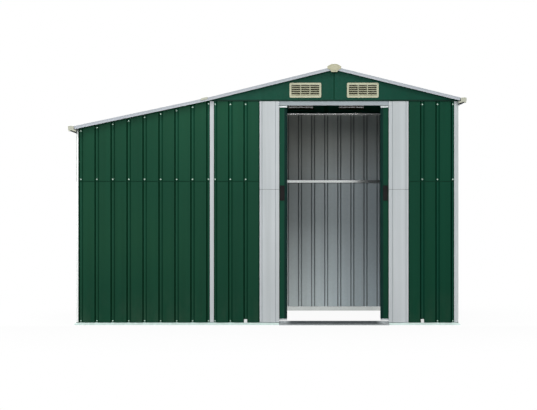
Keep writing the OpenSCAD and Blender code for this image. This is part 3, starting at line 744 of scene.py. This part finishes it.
def vent_screens(name, vents, inward):
    """Woven insect screens behind the two vents of a gable; inward is the sign of y into the shed."""
    pitch = 0.0020
    wire = 0.00105
    lap = 0.0095
    gable_sheet = 0.0015
    weave = 0.9
    places = [v.co for v in nodes[vents].data.vertices]
    gable = max(inward * p.y for p in places) + gable_sheet
    points, faces = [], []

    def strand(x0, x1, z0, z1, level):
        start = len(points)
        near = gable + level * weave * wire
        for depth in (near, near + wire):
            points.extend((x, inward * depth, z) for x, z in ((x0, z0), (x1, z0), (x1, z1), (x0, z1)))
        for face in moved_faces([(3, 2, 1, 0), (4, 5, 6, 7)] + band(0, 4, 4), start):
            faces.append(face if inward > 0 else face[::-1])

    for side in (-1, 1):
        own = [p for p in places if side * (p.x - GABLE_MIDDLE) > 0]
        x0 = min(p.x for p in own) + lap
        x1 = max(p.x for p in own) - lap
        z0 = min(p.z for p in own) + lap
        z1 = max(p.z for p in own) - lap
        for i in range(int((x1 - x0) / pitch)):
            strand(x0 + i * pitch, x0 + i * pitch + wire, z0, z1, 0)
        for i in range(int((z1 - z0) / pitch)):
            strand(x0, x1, z0 + i * pitch, z0 + i * pitch + wire, 1)
    # Their dark coat is also painted shade behind the louvres
    return piece(name, points, faces, screen_wire_and_shade, "shed")


vent_screens("front_vent_screens", "front_vents", 1)
vent_screens("back_vent_screens", "back_vents", -1)

CLIP_HALF = 0.0125
CLIP_EDGE = 0.0015
CLIP_EASE = 0.0004
CLIP_LINE = [
    (0.0016, 0.0185), (0.0106, 0.0178), (0.0112, 0.0160), (0.0122, 0.0166), (0.0116, 0.0190),
    (0.0034, 0.0212), (0.0030, 0.0440), (0.0024, 0.0450), (0.0014, 0.0450),
]


def clip_places(name, picks):
    """Places on the crest plane over the picked grooves of a wall's lower sheet."""
    lap_step = 0.0018
    out = OUTWARD[name]
    crest = max(out.dot(corner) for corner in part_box(name)) - lap_step
    lower = [low for low, high, normal in groove_floors(name) if low.z < KNEE]
    return [(Vector((lower[i].x, out.y * crest, 0)), out) for i in picks]


def base_clips(name, places):
    """Folded clips that hold the foot of a sheet to the base; a place is a point and its outward way."""
    count = len(CLIP_LINE)
    inner = CLIP_HALF - CLIP_EDGE
    rings = ((-CLIP_HALF, CLIP_EASE), (-inner, 0), (inner, 0), (CLIP_HALF, CLIP_EASE))
    points, faces = [], []
    for at, out in places:
        along = UP.cross(out)
        start = len(points)
        for u, ease in rings:
            points += [at + along * u + out * (v - ease) + UP * (z - ease) for v, z in CLIP_LINE]
        for a in range(start, start + 3 * count, count):
            faces += band(a, a + count, count)
        faces.append(tuple(start + i for i in reversed(range(count))))
        faces.append(tuple(start + 3 * count + i for i in range(count)))
    return piece(name, points, faces, white_bead_lit, "shed")


front_clips = clip_places("front_left_wall", [2]) + clip_places("front_right_wall", [1])
base_clips("front_base_clips", front_clips)
base_clips("back_base_clips", clip_places("back_wall", [2, -3]))


# Stage, light and camera

def light_path_share(tree):
    """1 for rays that see the background: camera, glossy and transmission rays."""
    path = tree.nodes.new("ShaderNodeLightPath")
    share = path.outputs["Is Camera Ray"]
    for name in ("Is Glossy Ray", "Is Transmission Ray"):
        both = tree.nodes.new("ShaderNodeMath")
        both.operation = "MAXIMUM"
        tree.links.new(share, both.inputs[0])
        tree.links.new(path.outputs[name], both.inputs[1])
        share = both.outputs[0]
    return share


def make_world(ambient):
    """White where it is seen, and a faint even light elsewhere."""
    world = bpy.data.worlds.new("studio")
    world.use_nodes = True
    tree = world.node_tree
    seen = tree.nodes.new("ShaderNodeBackground")
    seen.inputs["Color"].default_value = PLAIN
    light = tree.nodes["Background"]
    light.inputs["Color"].default_value = (0.96, 0.98, 1, 1)
    light.inputs["Strength"].default_value = ambient
    mixed = tree.nodes.new("ShaderNodeMixShader")
    tree.links.new(light_path_share(tree), mixed.inputs[0])
    tree.links.new(light.outputs[0], mixed.inputs[1])
    tree.links.new(seen.outputs[0], mixed.inputs[2])
    tree.links.new(mixed.outputs[0], tree.nodes["World Output"].inputs["Surface"])
    bpy.context.scene.world = world


def make_floor():
    """Pale floor that fades into the white background and keeps a soft shadow near the shed.

    It is duller before the front wall, so that it throws less light up there."""
    half = 30
    level = -0.001
    dull_to_pale = (-1.2, -0.95)
    near_to_far = (1.8, 4.0)
    corners = [(-half, -half), (half, -half), (half, half), (-half, half)]
    mesh = bpy.data.meshes.new("studio_floor")
    mesh.from_pydata([(x, y, level) for x, y in corners], [], [(0, 1, 2, 3)])
    floor = bpy.data.objects.new("studio_floor", mesh)
    bpy.context.scene.collection.objects.link(floor)
    f = Finish("studio_floor_paint")
    f.tree.nodes.remove(f.shader)
    pale = f.mix(f.spread(f.axis("Y"), *dull_to_pale), (0.5, 0.5, 0.5, 1), (0.95, 0.95, 0.95, 1))
    dull = f.node("ShaderNodeBsdfDiffuse", Color=pale)
    white_light = f.node("ShaderNodeEmission", Color=PLAIN, Strength=1.0)
    far = f.spread(f.distance((0, 0, 0)), *near_to_far, 0.95, 1.0)
    share = f.math("MULTIPLY", light_path_share(f.tree), far)
    mixed = f.tree.nodes.new("ShaderNodeMixShader")
    f.feed(mixed.inputs[0], share)
    f.feed(mixed.inputs[1], dull.outputs[0])
    f.feed(mixed.inputs[2], white_light.outputs[0])
    f.feed(f.tree.nodes["Material Output"].inputs["Surface"], mixed.outputs[0])
    mesh.materials.append(f.mat)


def softbox(name, at, aim, size, power, colour=(1, 1, 1)):
    """A rectangular area lamp that faces a point."""
    lamp = bpy.data.lights.new(name, "AREA")
    lamp.shape = "RECTANGLE"
    lamp.size, lamp.size_y = size
    lamp.energy = power
    lamp.color = colour
    made = bpy.data.objects.new(name, lamp)
    made.location = at
    made.rotation_euler = (Vector(aim) - Vector(at)).to_track_quat("-Z", "Y").to_euler()
    bpy.context.scene.collection.objects.link(made)


def make_camera(at, lens):
    """A level camera that looks straight at the front."""
    camera = bpy.data.objects.new("camera", bpy.data.cameras.new("camera"))
    camera.data.sensor_width = 36
    camera.data.lens = lens
    camera.data.clip_end = 200
    camera.location = at
    camera.rotation_euler = (math.radians(90), 0, 0)
    bpy.context.scene.collection.objects.link(camera)
    bpy.context.scene.camera = camera


make_world(0.08)
make_floor()
softbox("key_light", (-4.6, -4.9, 4.8), (-0.4, -0.9, 1.1), (2.0, 2.0), 140, (1, 0.995, 0.98))
softbox("low_front_light", (-0.2, -8.0, 2.9), (0.3, -0.9, 0.9), (3.0, 1.8), 205)
softbox("high_front_light", (1.7, -6.4, 5.2), (0.4, -0.9, 0.6), (0.8, 1.8), 100)
softbox("left_light", (-7.5, 0.2, 2.6), (-1.5, -0.3, 0.9), (2.6, 2.6), 250)
softbox("right_light", (7.5, -3.0, 3.0), (1.4, -0.5, 0.9), (2.4, 2.4), 80)
softbox("top_light", (0, 0.3, 6.5), (0, 0.2, 0), (6.0, 4.0), 300)
softbox("back_light", (3.2, 8.0, 3.4), (0, 0.9, 1.0), (5.0, 3.0), 320)
make_camera((0.0096, -15.165, 0.9361), 121.93)
bpy.context.scene.view_settings.view_transform = "Standard"
